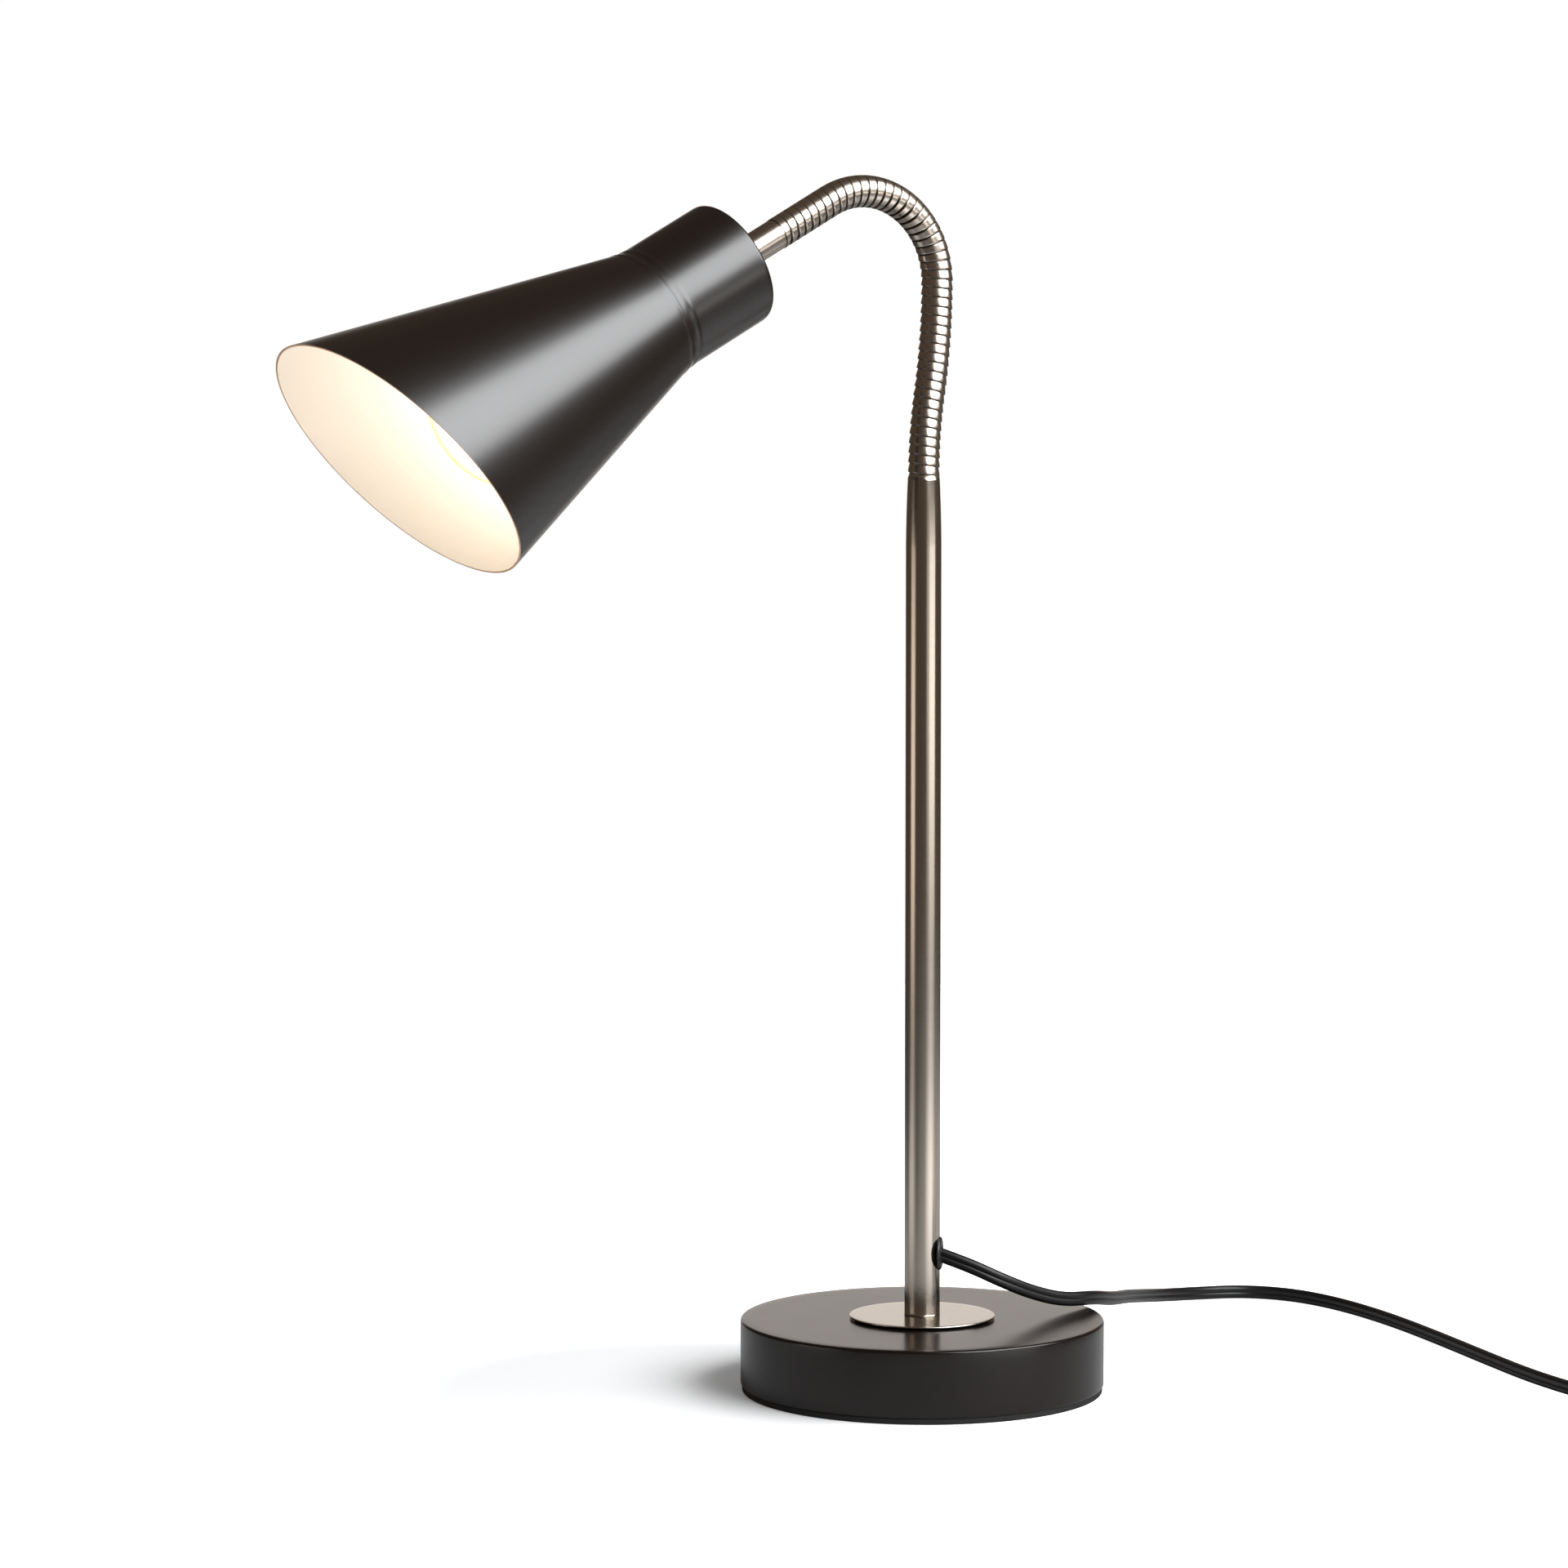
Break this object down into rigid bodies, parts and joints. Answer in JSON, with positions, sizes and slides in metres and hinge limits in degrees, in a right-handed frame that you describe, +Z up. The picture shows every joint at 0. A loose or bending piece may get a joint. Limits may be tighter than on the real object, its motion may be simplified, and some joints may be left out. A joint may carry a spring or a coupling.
{
  "type": "table lamp",
  "caption": "Table lamp with a weighted round base, straight metal stem, flexible ribbed neck and a matte black cone shade with a slanted mouth.",
  "frame": {"origin": "centre of the base's underside, on the table", "axes": "+Z up along the stem; the neck bends in the XZ plane and the shade points towards -X and down"},
  "size_m": [0.5238, 0.3795, 0.4313],
  "materials": {
    "black_paint": "matte",
    "nickel": "satin",
    "zinc": "satin",
    "iron": "rough",
    "black_rubber": "matte",
    "black_plastic": "matte",
    "cord_black": "satin",
    "holder_black": "matte",
    "brass": "polished",
    "cap_metal": "satin",
    "opal": "gloss",
    "white_plastic": "matte"
  },
  "bodies": {
    "stand": {"base_pad": "black_rubber", "base_shell": "black_paint", "base_weight": "iron", "base_nut": "zinc", "lock_washer": "zinc", "base_nipple": "zinc", "foot_disc": "nickel", "stem_tube": "nickel", "stem_insert": "zinc", "cord_grommet": "black_plastic", "stem_lead": "white_plastic", "neck_socket": "zinc", "neck_segment_01": "nickel", "cord_to_switch": "cord_black", "switch_lower": "black_plastic", "switch_upper": "black_plastic", "switch_screws": "zinc", "cord_to_coil": "cord_black", "cord_coil": "cord_black", "coil_tie": "black_plastic", "cord_to_plug": "cord_black", "plug_body": "black_plastic", "plug_pins": "nickel"},
    "link_02": {"neck_segment_02": "nickel"},
    "link_03": {"neck_segment_03": "nickel"},
    "link_04": {"neck_segment_04": "nickel"},
    "link_05": {"neck_segment_05": "nickel"},
    "link_06": {"neck_segment_06": "nickel"},
    "link_07": {"neck_segment_07": "nickel"},
    "link_08": {"neck_segment_08": "nickel"},
    "link_09": {"neck_segment_09": "nickel"},
    "link_10": {"neck_segment_10": "nickel"},
    "link_11": {"neck_segment_11": "nickel"},
    "head": {"neck_segment_12": "nickel", "neck_ferrule": "nickel", "ferrule_nipple": "zinc", "shade": "black_paint", "shade_washer": "zinc", "shade_nut": "zinc", "holder_base": "holder_black", "holder_shell": "brass", "holder_contact": "brass", "bulb_contact": "brass", "bulb_cap": "cap_metal", "bulb_glass": "opal"},
    "rocker": {"switch_rocker": "black_plastic"}
  },
  "joints": [
    {"name": "neck_nod_1", "type": "hinge", "parent": "stand", "child": "link_02", "pos_m": [0.00041, 0, 0.33908], "axis": [0, 1, 0], "range_deg": [-10, 10]},
    {"name": "neck_sway_1", "type": "hinge", "parent": "link_02", "child": "link_03", "pos_m": [0.0018, 0, 0.35219], "axis": [-0.9897, 0, 0.1431], "range_deg": [-12, 12]},
    {"name": "neck_nod_2", "type": "hinge", "parent": "link_03", "child": "link_04", "pos_m": [0.00371, 0, 0.36524], "axis": [0, 1, 0], "range_deg": [-10, 10]},
    {"name": "neck_sway_2", "type": "hinge", "parent": "link_04", "child": "link_05", "pos_m": [0.00496, 0, 0.37837], "axis": [-0.9977, 0, 0.0676], "range_deg": [-12, 12]},
    {"name": "neck_nod_3", "type": "hinge", "parent": "link_05", "child": "link_06", "pos_m": [0.00549, 0, 0.39155], "axis": [0, 1, 0], "range_deg": [-8, 14]},
    {"name": "neck_sway_3", "type": "hinge", "parent": "link_06", "child": "link_07", "pos_m": [0.00392, 0, 0.40457], "axis": [0.9485, 0, 0.3168], "range_deg": [-12, 12]},
    {"name": "neck_nod_4", "type": "hinge", "parent": "link_07", "child": "link_08", "pos_m": [-0.00276, 0, 0.41583], "axis": [0, 1, 0], "range_deg": [-4, 14]},
    {"name": "neck_sway_4", "type": "hinge", "parent": "link_08", "child": "link_09", "pos_m": [-0.01349, 0, 0.42333], "axis": [0.3871, 0, 0.922], "range_deg": [-12, 12]},
    {"name": "neck_nod_5", "type": "hinge", "parent": "link_09", "child": "link_10", "pos_m": [-0.02635, 0, 0.42573], "axis": [0, 1, 0], "range_deg": [-4, 14]},
    {"name": "neck_sway_5", "type": "hinge", "parent": "link_10", "child": "link_11", "pos_m": [-0.03907, 0, 0.42261], "axis": [-0.4381, 0, 0.8989], "range_deg": [-12, 12]},
    {"name": "neck_nod_6", "type": "hinge", "parent": "link_11", "child": "head", "pos_m": [-0.05066, 0, 0.41632], "axis": [0, 1, 0], "range_deg": [-8, 12]},
    {"name": "switch_rock", "type": "hinge", "parent": "stand", "child": "rocker", "pos_m": [0.17112, -0.21576, 0.0119], "axis": [0.9921, -0.1251, 0], "range_deg": [-16, 0]}
  ]
}
